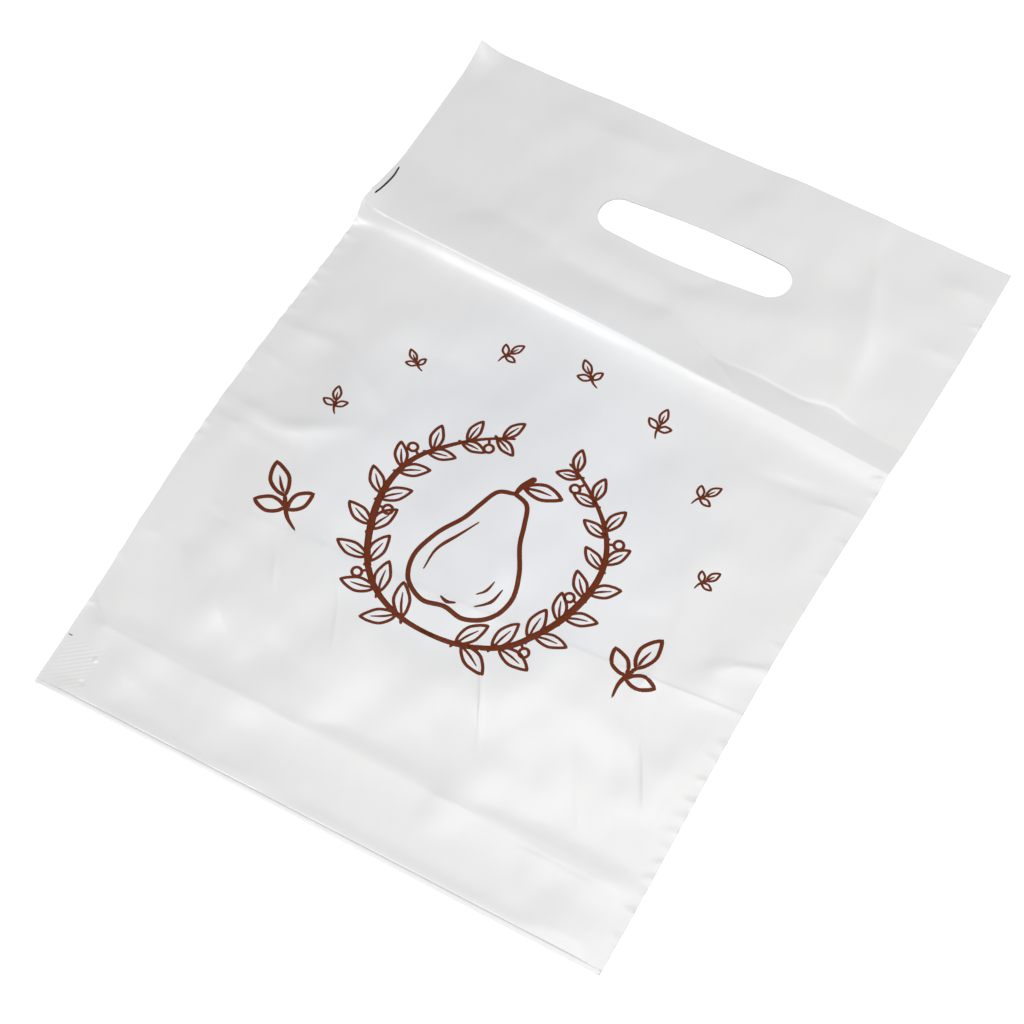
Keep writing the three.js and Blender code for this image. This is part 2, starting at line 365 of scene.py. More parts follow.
def from_route(across, along, route):
    """Distance to a route, positive on its left, and the share of its length that is passed."""
    steps = np.diff(route, axis=0)
    lengths = np.hypot(*steps.T)
    passed = np.concatenate([[0], np.cumsum(lengths)])
    nearest = np.full(across.shape, np.inf)
    side = np.ones(across.shape)
    share = np.zeros(across.shape)
    for start, step, length, before in zip(route, steps, lengths, passed):
        right, up = across - start[0], along - start[1]
        t = np.clip((right * step[0] + up * step[1]) / length ** 2, 0, 1)
        gap = np.hypot(right - t * step[0], up - t * step[1])
        closer = gap < nearest
        nearest[closer] = gap[closer]
        side[closer] = np.where(step[0] * up - step[1] * right < 0, -1, 1)[closer]
        share[closer] = ((before + t * length) / passed[-1])[closer]
    return nearest * side, share


def crease_relief(across, along):
    relief = np.zeros_like(across)
    for points, height, left, right in CREASES:
        route = smooth_route(points)
        reach = max(left, right)
        near = inside(across, along, *(route.min(0) - reach), *(route.max(0) + reach))
        distance, share = from_route(across[near], along[near], route)
        fading = np.sin(math.pi * share) ** 0.8
        relief[near] += height * fading * run_out(np.abs(distance), np.where(distance > 0, left, right))
    return relief


def mound_relief(across, along):
    relief = np.zeros_like(across)
    for place, height, long, wide, turn in MOUNDS:
        right, up = turned(across - place[0], along - place[1], -math.radians(turn)).T
        relief += height * hump(np.hypot(right / long, up / wide), 1)
    return relief


def pucker_relief(across, along):
    """Short folds that run in from the welds, each a little unlike the next."""
    rng = np.random.default_rng(PUCKER_SEED)
    relief = np.zeros_like(across)
    for from_edge, places in ((across, LEFT_PUCKERS), (BAG_WIDTH - across, RIGHT_PUCKERS)):
        for place in places:
            height = PUCKER_HEIGHT * rng.uniform(0.5, 1.2)
            half = PUCKER_HALF * rng.uniform(0.7, 1.3)
            reach = PUCKER_REACH * rng.uniform(0.6, 1.2)
            lean = rng.uniform(-0.35, 0.35)
            past = along - place - lean * from_edge
            steep = np.where(past > 0, 0.6 * half, half)
            relief += height * hump(past, steep) * run_out(from_edge, reach)
    return relief


def hatch_relief(across, along):
    left, bottom, right, top = HATCH_CORNER
    share = ease(across - left) * ease((right - across) / 5) * ease(along - bottom) * ease((top - along) / 3)
    past = along * math.cos(HATCH_TURN) - across * math.sin(HATCH_TURN)
    return HATCH_HEIGHT * share * np.sin(2 * math.pi * past / HATCH_PITCH)


def side_share(across):
    """0 in the welds and 1 where the panels are as far apart as they come."""
    return ease((np.minimum(across, BAG_WIDTH - across) - WELD_WIDTH) / SIDE_REACH)


def looseness(across, along):
    """How far the front panel stands off the back panel, away from the welds."""
    closeness = MOUTH_CLOSENESS * to_mouth(along, MOUTH_WAVE_START)
    crown = np.sin(math.pi * np.clip(across / BAG_WIDTH, 0, 1))
    from_gusset = mix(0.3, 1, ease((along - LOOSE_START) / LOOSE_REACH))
    pressed = SLOT_PRESS * ease(1 - past_slot(across, along) / SLOT_PRESS_REACH)
    return LOOSENESS * (1 - closeness) * crown * from_gusset * (1 - pressed)


def back_height(across, along):
    rise = crease_rise(across, along) + arch_rise(across, along) + mouth_rise(across, along)
    return FILM_THICKNESS / 2 + rise


def back_relief(across, along):
    """The back panel lies on the floor, so its folds only stand up from it."""
    waves = ripples(across, along, *BACK_RIPPLES)
    return side_share(across) * 0.9 * np.clip(waves - 0.35, 0, None) ** 1.3


def uncalmed(across, along):
    """The share of its ripples that the film keeps, small along the crease."""
    return 1 - CREASE_CALM * hump(along + CREASE_CALM_BELOW - crease_line(across), CREASE_CALM_REACH)


def bow(along):
    return BOW * hump(along - BOW_ALONG, BOW_HALF_LENGTH)


def bag_place(across, along):
    """Where a place on the bag comes to lie, seen from straight above."""
    skew = MOUTH_SKEW * (across / BAG_WIDTH - 0.5) * to_mouth(along, MOUTH_SKEW_START)
    return to_right(EDGE_INSET, BAG_WIDTH - EDGE_INSET, across) + bow(along), along + skew


def metres(across, along, height=0):
    return as_rows(*bag_place(across, along), height) * MM + (LOW.x, LOW.y, 0)


def layer_heights(across, along):
    """Heights of the back panel, the back leaf, the front leaf and the front panel."""
    side = side_share(across)
    base = back_height(across, along)
    rippled = uncalmed(across, along)
    back = base + rippled * back_relief(across, along) * ease((along - INNER_FOLD) / BACK_FLAT_REACH)
    bulge = hump(along - FRONT_FOLD, np.where(along > FRONT_FOLD, BULGE_ABOVE, BULGE_BELOW))
    back_leaf = base + LAYER_GAP + BULGE * side * bulge
    front_leaf = back_leaf + LAYER_GAP + INNER_SPRING * side * run_out(INNER_FOLD - along, INNER_SPRING_REACH)
    gusset_top = front_leaf + LAYER_GAP
    free = base + LAYER_GAP + side * looseness(across, along)
    smooth = mix(free, gusset_top, run_out(np.clip(along - INNER_FOLD, 0, None), GUSSET_RELEASE, 3))
    seen_across = across + bow(along) + SEEN_ACROSS * smooth
    seen_along = along + SEEN_ALONG * smooth
    relief = crease_relief(seen_across, seen_along)
    relief += mound_relief(seen_across, seen_along)
    relief += pucker_relief(across, seen_along)
    relief += side * rippled * ripples(across, along, *FRONT_RIPPLES)
    past_fold = ease((along - FRONT_FOLD) / FRONT_FOLD_REACH)
    relief *= RELIEF * past_fold
    relief += hatch_relief(seen_across, seen_along)
    past_gusset = ease((along - INNER_FOLD - INNER_SPRING) / GUSSET_RELEASE)
    below = mix(front_leaf, back, past_gusset) + LAYER_GAP
    front = smooth + relief - below
    front = below + 0.5 * (front + np.sqrt(front ** 2 + SOFT_MEET ** 2 * side * past_fold + 1e-6))
    return back, back_leaf, front_leaf, front


# The flat cut: each stretch of film from the back panel's mouth to the front panel's mouth
STRETCHES = (BAG_LENGTH - BACK_FOLD, FOLD_FILM, INNER_FOLD - BACK_FOLD, FOLD_FILM,
             INNER_FOLD - FRONT_FOLD, FOLD_FILM, BAG_LENGTH - FRONT_FOLD)
STARTS = np.concatenate([[0], np.cumsum(STRETCHES)])
FILM_LENGTH = STARTS[-1]


def front_run(along):
    """Where a place on the front panel is on the flat film, from the back panel's mouth."""
    return STARTS[6] + along - FRONT_FOLD


def back_run(along):
    return BAG_LENGTH - along


def folded(across, run):
    """Folds the flat film: places in metres of points at across and run."""
    stretch = np.clip(np.searchsorted(STARTS, run, side="right") - 1, 0, len(STRETCHES) - 1)
    into = run - STARTS[stretch]
    along = np.choose(stretch, [BAG_LENGTH - into, BACK_FOLD, BACK_FOLD + into, INNER_FOLD,
                                INNER_FOLD - into, FRONT_FOLD, FRONT_FOLD + into])
    back, back_leaf, front_leaf, front = layer_heights(across, along)
    lower = np.choose(stretch, [back, back, back_leaf, back_leaf, front_leaf, front_leaf, front])
    upper = np.choose(stretch, [back, back_leaf, back_leaf, front_leaf, front_leaf, front, front])
    angle = np.where(stretch % 2 == 1, math.pi * (into / FOLD_FILM - 0.5), math.pi / 2)
    radius = (upper - lower) / 2
    way = np.where(stretch == 3, 1, -1)
    along = along + way * radius * np.cos(angle)
    height = np.where(stretch % 2 == 1, lower + radius * (1 + np.sin(angle)), lower)
    return metres(across, along, height)


def slot_bulge(across):
    """How far the slot's long sides bow out at a place across from its centre."""
    return SLOT_BULGE * np.clip(1 - (across / SLOT_STRAIGHT) ** 2, 0, 1)


def slot_outline(spacing):
    """The slot's outline round its own centre, as points about spacing apart."""
    points = []
    steps = max(round(math.pi / 2 * SLOT_END_RADIUS / spacing), 4)
    for quarter, (right, up) in enumerate(((1, 1), (-1, 1), (-1, -1), (1, -1))):
        for step in range(steps + 1):
            angle = math.radians(90 * quarter + 90 * step / steps)
            points.append((right * SLOT_STRAIGHT + SLOT_END_RADIUS * math.cos(angle),
                           up * SLOT_FLAT + SLOT_END_RADIUS * math.sin(angle)))
    points = np.array(points + points[:1])
    dense = []
    for start, end in zip(points, points[1:]):
        count = max(round(math.dist(start, end) / spacing), 1)
        dense += [mix(start, end, i / count) for i in range(count)]
    dense = np.array(dense)
    dense[:, 1] += np.sign(dense[:, 1]) * slot_bulge(dense[:, 0])
    return dense


def slot_on(run_of):
    """The slot's outline on the flat film, through the panel that run_of gives the runs of."""
    across, along = (turned(*slot_outline(1.0).T, SLOT_TURN) + SLOT_CENTRE).T
    return as_rows(across, run_of(along))


def turned(across, along, angle):
    """Points turned about the origin, as rows."""
    cosine, sine = math.cos(angle), math.sin(angle)
    return as_rows(across * cosine - along * sine, across * sine + along * cosine)


def past_slot(across, along):
    """Distance outwards from the slot's edge, below 0 inside it."""
    right, up = np.abs(turned(across - SLOT_CENTRE[0], along - SLOT_CENTRE[1], -SLOT_TURN).T)
    outside = (right - SLOT_STRAIGHT, up - slot_bulge(right) - SLOT_FLAT)
    return np.hypot(*np.clip(outside, 0, None)) - SLOT_END_RADIUS


def unseen(points):
    """True places of points of the front panel that were placed as the photograph shows them."""
    seen_across, seen_along = np.array(points, float).T
    across, along = seen_across, seen_along
    for _ in range(5):
        height = back_height(across, along) + side_share(across) * looseness(across, along)
        across = seen_across - bow(along) - SEEN_ACROSS * height
        along = seen_along - SEEN_ALONG * height
    return as_rows(across, along)


def along_rows(runs, spacing):
    """Points on lines across the flat film, one line at each run."""
    across = np.linspace(0, BAG_WIDTH, round(BAG_WIDTH / spacing) + 1)
    return np.vstack([as_rows(across, run) for run in runs])


def row_points():
    """Rows of points where the film turns at its folds, its creases and its gusset's edge."""
    rows = [along_rows(STARTS[i] + np.linspace(0, FOLD_FILM, 9), 2.0) for i in (1, 3, 5)]
    for run_of, count, offsets in ((front_run, 168, FRONT_CREASE_ROWS), (back_run, 121, BACK_CREASE_ROWS)):
        across = np.linspace(0, BAG_WIDTH, count)
        rows += [as_rows(across, run_of(crease_line(across) + offset)) for offset in offsets]
    for fold, offsets in ((INNER_FOLD, GUSSET_EDGE_ROWS), (FRONT_FOLD, FRONT_FOLD_ROWS)):
        rows.append(along_rows(front_run(fold + np.array(offsets)), ROW_SPACING))
    return rows


def crease_points():
    """Points close together across each sharp crease of the front panel."""
    groups = []
    for points, _, left, right in CREASES:
        if min(left, right) > SHARP_REACH:
            continue
        route = smooth_route(points, 9)
        steps = np.gradient(route, axis=0)
        steps /= np.hypot(*steps.T)[:, None]
        aside = np.column_stack([-steps[:, 1], steps[:, 0]])
        for share in (-1, -0.5, -0.2, 0, 0.2, 0.5, 1):
            reach = min(left if share > 0 else right, SHARP_REACH)
            line = smooth_route(unseen(route + aside * share * reach), 2)
            groups.append(as_rows(line[:, 0], front_run(line[:, 1])))
    return groups


def lattice(left, bottom, right, top, spacing):
    """Points of a lattice of even triangles in a rectangle."""
    points = []
    for number, run in enumerate(np.arange(bottom, top, spacing * math.sqrt(3) / 2)):
        points.append(as_rows(np.arange(left + (number % 2) * spacing / 2, right, spacing), run))
    return np.vstack(points)


def edge_runs():
    return np.linspace(0, FILM_LENGTH, round(FILM_LENGTH / EDGE_SPACING) + 1)


def weld_points():
    """Points beside both welds, the whole way round the film."""
    lines = []
    for from_edge in (0, WELD_WIDTH / 2, WELD_WIDTH, 2.2):
        lines += [as_rows(across, edge_runs()) for across in (from_edge, BAG_WIDTH - from_edge)]
    return lines


def fill_points():
    """Lattices that fill the film, each with the zone that it fills, finest first."""
    left, bottom, right, top = HATCH_CORNER
    puckered = 13.0
    front, mouth = STARTS[6], FILM_LENGTH
    return (
        (left, front_run(bottom), right, front_run(top), 0.5),
        (0, front, puckered, mouth, 1.25),
        (BAG_WIDTH - puckered, front, BAG_WIDTH, mouth, 1.25),
        (0, front, BAG_WIDTH, mouth, 2.5),
        (0, STARTS[1], BAG_WIDTH, front, 3.2),
        (0, 0, BAG_WIDTH, STARTS[1], 3.8),
    )


def kept_apart(groups):
    """Joins groups of points, leaving out points that are too close to one taken before."""
    taken = []
    for points, apart in groups:
        tree = KDTree(max(len(taken), 1))
        for index, place in enumerate(taken or [(-1e3, -1e3)]):
            tree.insert((place[0], place[1], 0), index)
        tree.balance()
        taken += [p for p in points.tolist() if tree.find((p[0], p[1], 0))[2] > apart]
    return taken


def chain_edges(chains):
    """Edges along chains of points, one after the other, each given as (count, closed)."""
    edges, first = [], 0
    for count, closed in chains:
        edges += [(first + i, first + (i + 1) % count) for i in range(count if closed else count - 1)]
        first += count
    return edges


def flat_film():
    """Points (across, run) and triangles of the flat cut with its two slots."""
    run = edge_runs()
    across = np.linspace(0, BAG_WIDTH, 126)
    outline = np.vstack([
        as_rows(across[:-1], 0),
        as_rows(BAG_WIDTH, run[:-1]),
        as_rows(across[:0:-1], FILM_LENGTH),
        as_rows(0, run[:0:-1]),
    ])
    loops = [outline, slot_on(front_run), slot_on(back_run)]
    groups = [(np.vstack(loops), 0)]
    groups += [(points, 0.3) for points in row_points() + weld_points() + crease_points()]
    zones = []
    for *zone, spacing in fill_points():
        points = lattice(*zone, spacing)
        for finer in zones:
            points = points[~inside(*points.T, *finer)]
        groups.append((points, spacing * 0.55))
        zones.append(zone)
    points = np.array(kept_apart(groups))
    points = points[np.all((points >= 0) & (points <= (BAG_WIDTH, FILM_LENGTH)), axis=1)]
    edges = chain_edges([(len(loop), True) for loop in loops])
    result = delaunay_2d_cdt([Vector(p) for p in points.tolist()], edges, [], 0, 1e-5)
    points = np.array([tuple(v) for v in result[0]])
    triangles = np.array([face for face in result[2] if len(face) == 3])
    centres = points[triangles].mean(axis=1)
    in_front = past_slot(centres[:, 0], centres[:, 1] - STARTS[6] + FRONT_FOLD) < 0
    in_back = past_slot(centres[:, 0], BAG_LENGTH - centres[:, 1]) < 0
    cut = (in_front & (centres[:, 1] > STARTS[6])) | (in_back & (centres[:, 1] < STARTS[1]))
    return points, triangles[~cut]


def new_object(name, mesh):
    piece = bpy.data.objects.new(name, mesh)
    bpy.context.scene.collection.objects.link(piece)
    return piece


def as_plain_mesh(piece):
    """Turns what the piece's modifiers make into its own mesh, and removes them."""
    graph = bpy.context.evaluated_depsgraph_get()
    mesh = bpy.data.meshes.new_from_object(piece.evaluated_get(graph))
    piece.modifiers.clear()
    piece.data = mesh
    mesh.name = piece.name
    return piece


def film_piece():
    points, triangles = flat_film()
    mesh = bpy.data.meshes.new("film")
    mesh.from_pydata(folded(points[:, 0], points[:, 1]).tolist(), [], triangles.tolist())
    cut = mesh.uv_layers.new(name="cut")
    corners = np.empty(len(mesh.loops), int)
    mesh.loops.foreach_get("vertex_index", corners)
    cut.data.foreach_set("uv", (points[corners] / FILM_LENGTH).ravel())
    film = new_object("film", mesh)
    thicken = film.modifiers.new("thickness", "SOLIDIFY")
    thicken.thickness = FILM_THICKNESS * MM
    thicken.offset = 0
    as_plain_mesh(film)
    film.data.shade_smooth()
    film.data.set_sharp_from_angle(angle=math.radians(55))
    return film


Stroke = namedtuple("Stroke", "route width start end closed", defaults=(1, 1, False))
Motif = namedtuple("Motif", "strokes places")
Place = namedtuple("Place", "at turn size")


def drawn(route, steps, width, start=1, end=1):
    """A stroke along a smooth curve, with its width at its ends as shares of that in the middle."""
    return Stroke(smooth_route(route, steps), width, start, end)


def leaf(base, turn, length, width=1.3, plump=1.0, rib=0.72):
    """Strokes of one leaf: its outline and its midrib."""
    left = ((0, 0), (0.18, 0.15), (0.5, 0.235), (0.8, 0.14), (1, 0))
    right = ((1, 0), (0.8, -0.1), (0.5, -0.185), (0.2, -0.12), (0, 0))
    sides = [smooth_route(side, 6) * (length, length * plump) for side in (left, right)]
    outline = np.vstack([sides[0][:-1], sides[1][:-1]])
    strokes = [Stroke(outline, width, closed=True)]
    if rib:
        middle = smooth_route(((0.08, 0.005), (rib / 2, 0.03), (rib, 0.01)), 6) * length
        strokes.append(Stroke(middle, width * 0.8, end=0.4))
    angle = math.radians(turn)
    return [stroke._replace(route=turned(*stroke.route.T, angle) + base) for stroke in strokes]


def ring(centre, radius, width):
    angles = np.linspace(0, 2 * math.pi, 18, endpoint=False)
    return Stroke(as_rows(np.cos(angles), np.sin(angles)) * radius + centre, width, closed=True)


def leaf_motif():
    return [drawn(((-2.6, 0.0), (-1, 0.25), (0.4, 0)), 4, 1.2)] + leaf((0, 0), 0, 14.5)


def berry_motif():
    return [drawn(((0, 0), (1.6, 0.3), (3.4, 0.1)), 4, 1.2), ring((5.6, 0.1), 2.3, 1.3)]


def sprig_motif():
    stem = drawn(((-5.5, -0.8), (-2.5, 0.2), (1.4, 0)), 5, 1.1, 0.5)
    sides = leaf((-0.9, 0.3), 62, 5.4, 1.0, 1.2, 0) + leaf((-1.4, -0.1), -66, 5.0, 1.0, 1.2, 0)
    return [stem] + leaf((1.2, 0), 4, 6.8, 1.0, 1.1, 0.6) + sides


def wreath_point(turn, away=0.0):
    """A place on the wreath's stem at a turn from its centre, in degrees."""
    angle = math.radians(turn)
    radius = WREATH_RADIUS + 0.8 * math.sin(5 * angle) + away
    return np.array(WREATH_CENTRE) + radius * np.array([math.cos(angle), math.sin(angle)])


def wreath_places():
    """Where the wreath's leaves and berries grow from its two stems."""
    rng = np.random.default_rng(4)
    leaves, berries = [], []
    for side in (-1, 1):
        for pair in range(WREATH_PAIRS):
            turn = -90 + side * (15 + 17.6 * pair)
            upward = turn + 90 * side
            size = mix(1.06, 0.72, pair / (WREATH_PAIRS - 1))
            for lean in (-1, 1):
                tilt = upward + lean * (44 + rng.uniform(-5, 5))
                shift = 3.0 if lean * side < 0 else 0.0
                leaves.append(Place(wreath_point(turn + shift * side), tilt, size * rng.uniform(0.93, 1.05)))
            if pair % 2:
                between = turn + 13.4 * side
                outward = between if pair % 4 == 1 else between + 180
                berries.append(Place(wreath_point(between), outward, 0.85))
    return leaves, berries


def sprig_places():
    rng = np.random.default_rng(9)
    places = []
    for turn in SPRIG_TURNS:
        angle = math.radians(turn)
        at = np.array(SPRIG_CENTRE) + np.array(SPRIG_AWAY) * (math.cos(angle), math.sin(angle))
        size = 2.3 if turn > 180 else 1.0
        lean = 90 + rng.uniform(-40, 40) if turn > 180 else turn + rng.uniform(-60, 60)
        places.append(Place(at, lean, size * rng.uniform(0.85, 1.1)))
    return places


def wreath_stems():
    stems = []
    for side in (-1, 1):
        turns = -90 + side * np.linspace(-9, 165, 60)
        stems.append(Stroke(np.array([wreath_point(t) for t in turns]), 3.1, start=0.6, end=0.36))
    return stems


def pear():
    """The pear in the middle: its outline, its stalk with a leaf, and a few lines of shade."""
    half = ((0, 29), (6.6, 26.5), (10, 18.5), (13, 9.5), (19, -1.5), (22, -13), (18.6, -23.5),
            (9.5, -29), (0, -27.6))
    outline = half + tuple((-across, along) for across, along in half[-2::-1])
    strokes = [
        Stroke(smooth_route(outline, 6)[:-1], 2.0, closed=True),
        drawn(((0, 28), (0.8, 33), (4, 39)), 6, 2.8, 0.6),
        *leaf((1.8, 33), 8, 16.0, 1.6),
        drawn(((-15.5, -17), (-15.4, -7), (-10.5, 2.5), (-6.4, 11.5)), 6, 1.6, 0.4, 0.4),
        drawn(((10.5, -22.5), (15.4, -17.5), (16.8, -10.5)), 6, 1.5, 0.4, 0.4),
        drawn(((8.5, -17.5), (11.4, -14), (12.4, -9)), 6, 1.3, 0.4, 0.4),
        drawn(((-3.6, -24.2), (0, -25.4), (3.6, -24.2)), 5, 1.6, 0.5, 0.5),
    ]
    return [stroke._replace(route=stroke.route + PEAR_CENTRE) for stroke in strokes]


def paced(route, step, closed):
    """The route's points again, even steps apart."""
    route = np.vstack([route, route[:1]]) if closed else route
    passed = np.concatenate([[0], np.cumsum(np.hypot(*np.diff(route, axis=0).T))])
    count = max(round(passed[-1] / step), 4)
    places = np.linspace(0, passed[-1], count + 1)
    points = np.column_stack([np.interp(places, passed, route[:, i]) for i in (0, 1)])
    return (points[:-1], places[:-1]) if closed else (points, places)


def half_widths(stroke, places):
    """Half the stroke's width along it, round at open ends."""
    if stroke.closed:
        return np.full(places.shape, stroke.width / 2)
    end = places[-1]
    half = stroke.width / 2 * np.interp(places, (0, end / 2, end), (stroke.start, 1, stroke.end))
    to_end = np.minimum(places, end - places)
    return half * np.sqrt(np.clip(1 - (1 - np.clip(to_end / half, 0, 1)) ** 2, 0.02, 1))


def mark(mesh, name, values):
    """Gives each point of a mesh a value under a name that the trees and materials read."""
    mesh.attributes.new(name, "FLOAT", "POINT").data.foreach_set("value", values)


def edge_mesh(name, chains, values):
    """A mesh of chains of edges, (points, closed) each, with half a stroke's width at each point."""
    mesh = bpy.data.meshes.new(name)
    edges = chain_edges([(len(points), closed) for points, closed in chains])
    mesh.from_pydata(np.vstack([points for points, _ in chains]).tolist(), edges, [])
    mark(mesh, "half_width", np.concatenate(values) * MM)
    return mesh


def strokes_mesh(name, strokes, to_metres):
    chains, values = [], []
    for stroke in strokes:
        points, places = paced(stroke.route, STROKE_STEP, stroke.closed)
        chains.append((to_metres(points), stroke.closed))
        values.append(half_widths(stroke, places))
    return edge_mesh(name, chains, values)


def motif_mesh(strokes):
    return strokes_mesh("motif", strokes, lambda points: as_rows(*points.T, 0) * MM)


def places_mesh(places):
    """A mesh of points, with the turn and the size of the motif that stands on each."""
    mesh = bpy.data.meshes.new("places")
    mesh.from_pydata(metres(*unseen([place.at for place in places]).T).tolist(), [], [])
    mark(mesh, "turn", [math.radians(place.turn) for place in places])
    mark(mesh, "size", [place.size for place in places])
    return mesh


def section_mesh():
    """A stroke's section at half its width: sloping edges, marked as its rim, and a flat top."""
    mesh = bpy.data.meshes.new("section")
    corners = [(-1, 0, 0), (-0.62, -1, 0), (0.62, -1, 0), (1, 0, 0)]
    mesh.from_pydata(corners, chain_edges([(4, True)]), [])
    mark(mesh, "rim", [1, 0, 0, 1])
    return mesh


def tree_with(kind, name, inputs, outputs):
    """A node tree with inputs and outputs given as (name, kind), and the sockets that stand for them."""
    tree = bpy.data.node_groups.new(name, kind)
    for in_out, sockets in (("INPUT", inputs), ("OUTPUT", outputs)):
        for label, socket in sockets:
            tree.interface.new_socket(label, in_out=in_out, socket_type=f"NodeSocket{socket}")
    return tree, add_node(tree, "NodeGroupInput").outputs, add_node(tree, "NodeGroupOutput").inputs


def geometry_tree(name, inputs):
    shape = ("Geometry", "Geometry")
    return tree_with("GeometryNodeTree", name, [shape, *inputs], [shape])


def shape_of(tree, source):
    info = add_node(tree, "GeometryNodeObjectInfo", (("Object", source),), transform_space="RELATIVE")
    return info.outputs["Geometry"]


def vector(tree, *values):
    return result(tree, "ShaderNodeCombineXYZ", enumerate(values))


def swept(tree, curve, profile, size):
    """The shape that a profile sweeps along a curve, grown by a size at each of its points."""
    inputs = (("Curve", curve), ("Profile Curve", profile), ("Fill Caps", True))
    ribbon = add_node(tree, "GeometryNodeCurveToMesh", inputs)
    tree.links.new(size, next(s for s in ribbon.inputs if s.name == "Scale"))
    return ribbon.outputs[0]


def end_tree(tree, made, shape, material):
    real = result(tree, "GeometryNodeRealizeInstances", (("Geometry", shape),))
    coated = result(tree, "GeometryNodeSetMaterial", (("Geometry", real), ("Material", material)))
    tree.links.new(coated, made["Geometry"])
    return tree


def named(tree, name):
    return result(tree, "GeometryNodeInputNamedAttribute", (("Name", name),), data_type="FLOAT")


def drawing_tree(motif_count):
    """Makes ribbons of strokes, its own and those of motifs on their places, and lays them on the film."""
    pairs = [(f"{part} {i}", "Object") for i in range(motif_count) for part in ("Motif", "Places")]
    sockets = (("Film", "Object"), ("Section", "Object"), ("Depth", "Float"), ("Height", "Float"),
               ("Ink", "Material"))
    tree, given, made = geometry_tree("drawing", [*sockets, *pairs])
    strokes = add_node(tree, "GeometryNodeJoinGeometry", ((0, given["Geometry"]),))
    for i in range(motif_count):
        grown = result(tree, "GeometryNodeInstanceOnPoints", (
            ("Points", shape_of(tree, given[f"Places {i}"])),
            ("Instance", shape_of(tree, given[f"Motif {i}"])),
            ("Rotation", vector(tree, 0, 0, named(tree, "turn"))),
            ("Scale", vector(tree, *(named(tree, "size") for _ in range(3)))),
        ))
        real = result(tree, "GeometryNodeRealizeInstances", (("Geometry", grown),))
        tree.links.new(real, strokes.inputs[0])
    lines = result(tree, "GeometryNodeMeshToCurve", (("Mesh", strokes.outputs[0]),))
    lines = result(tree, "GeometryNodeSetCurveNormal", (("Curve", lines),), mode="Z_UP")
    section = result(tree, "GeometryNodeMeshToCurve", (("Mesh", shape_of(tree, given["Section"])),))
    bolder = math_node(tree, "POWER", math_node(tree, "MAXIMUM", named(tree, "size"), 1.0), 0.6)
    ribbon = swept(tree, lines, section, math_node(tree, "MULTIPLY", named(tree, "half_width"), bolder))
    at = result(tree, "GeometryNodeInputPosition")
    apart = add_node(tree, "ShaderNodeSeparateXYZ", ((0, at),)).outputs
    hit = add_node(tree, "GeometryNodeRaycast", (
        ("Target Geometry", shape_of(tree, given["Film"])),
        ("Source Position", vector(tree, apart[0], apart[1], 0.1)),
        ("Ray Direction", (0, 0, -1)),
        ("Ray Length", 0.2),
    )).outputs
    lift = result(tree, "GeometryNodeSwitch", (
        ("Switch", result(tree, "FunctionNodeCompare", ((0, apart[2]), (1, 1e-5)), operation="GREATER_THAN")),
        ("False", math_node(tree, "MULTIPLY", given["Depth"], -1.0)),
        ("True", given["Height"]),
    ), input_type="FLOAT")
    inputs = ((0, hit["Hit Position"]), (1, vector(tree, 0, 0, lift)))
    landed = result(tree, "ShaderNodeVectorMath", inputs, operation="ADD")
    inputs = (("Geometry", ribbon), ("Selection", hit["Is Hit"]), ("Position", landed))
    return end_tree(tree, made, result(tree, "GeometryNodeSetPosition", inputs), given["Ink"])


def built(piece, tree, values):
    """Makes the piece what a geometry tree makes of it, with values for the tree's inputs by name."""
    modifier = piece.modifiers.new(tree.name, "NODES")
    modifier.node_group = tree
    for item in tree.interface.items_tree:
        if item.in_out == "INPUT" and item.name in values:
            modifier[item.identifier] = values[item.name]
    return as_plain_mesh(piece)


def drawing(name, strokes, motifs, film, stroke_look):
    """A piece of strokes and motifs drawn on the film."""
    piece = new_object(name, strokes_mesh(name, strokes, lambda points: metres(*unseen(points).T)))
    meshes = {"Section": section_mesh()}
    for number, motif in enumerate(motifs):
        meshes[f"Motif {number}"] = motif_mesh(motif.strokes)
        meshes[f"Places {number}"] = places_mesh(motif.places)
    helpers = {label: new_object("helper", mesh) for label, mesh in meshes.items()}
    sizes = {"Depth": STROKE_DEPTH * MM, "Height": STROKE_HEIGHT * MM}
    built(piece, drawing_tree(len(motifs)), {"Film": film, "Ink": stroke_look, **sizes, **helpers})
    for helper in helpers.values():
        bpy.data.objects.remove(helper)
    return piece


def print_piece(film):
    leaves, berries = wreath_places()
    sprigs = Motif(sprig_motif(), sprig_places())
    motifs = (Motif(leaf_motif(), leaves), Motif(berry_motif(), berries), sprigs)
    stroke_look = ink_and_shade_material("brown_ink", INK_CORE, INK_EDGE, 0.4)
    return drawing("print", wreath_stems() + pear(), motifs, film, stroke_look)


def painted_shade_marks(film):
    """Painted shade drawn as strokes on the film: a near-black line of painted shadow under the front panel's
    edge along the left weld, and a short grey dash of painted shade at a small pucker by the bottom corner.
    """
    # Painted shadow: a near-black line where the front panel's edge shades the left weld
    shadow_line = drawn(((0.8, 277), (1.2, 272), (0.5, 266), (-0.8, 260)), 6, 0.9, 0.8, 0.8)
    # Painted shade: a short grey dash where a small pucker by the bottom corner lies in shade
    pucker_shade = drawn(((-0.1, 24), (0.9, 24.05), (1.9, 24.1)), 4, 0.6)
    # The near-black colour of the painted shadow line
    black = ink_and_shade_material("dark_thread", (0.03, 0.03, 0.032), (0.02, 0.02, 0.02), 0.6)
    # The grey colour of the painted pucker shade
    grey = ink_and_shade_material("grey_dash", (0.3, 0.3, 0.31), (0.22, 0.22, 0.23), 0.6)
    return [drawing("dark_thread", (shadow_line,), (), film, black), drawing("grey_dash", (pucker_shade,), (), film, grey)]


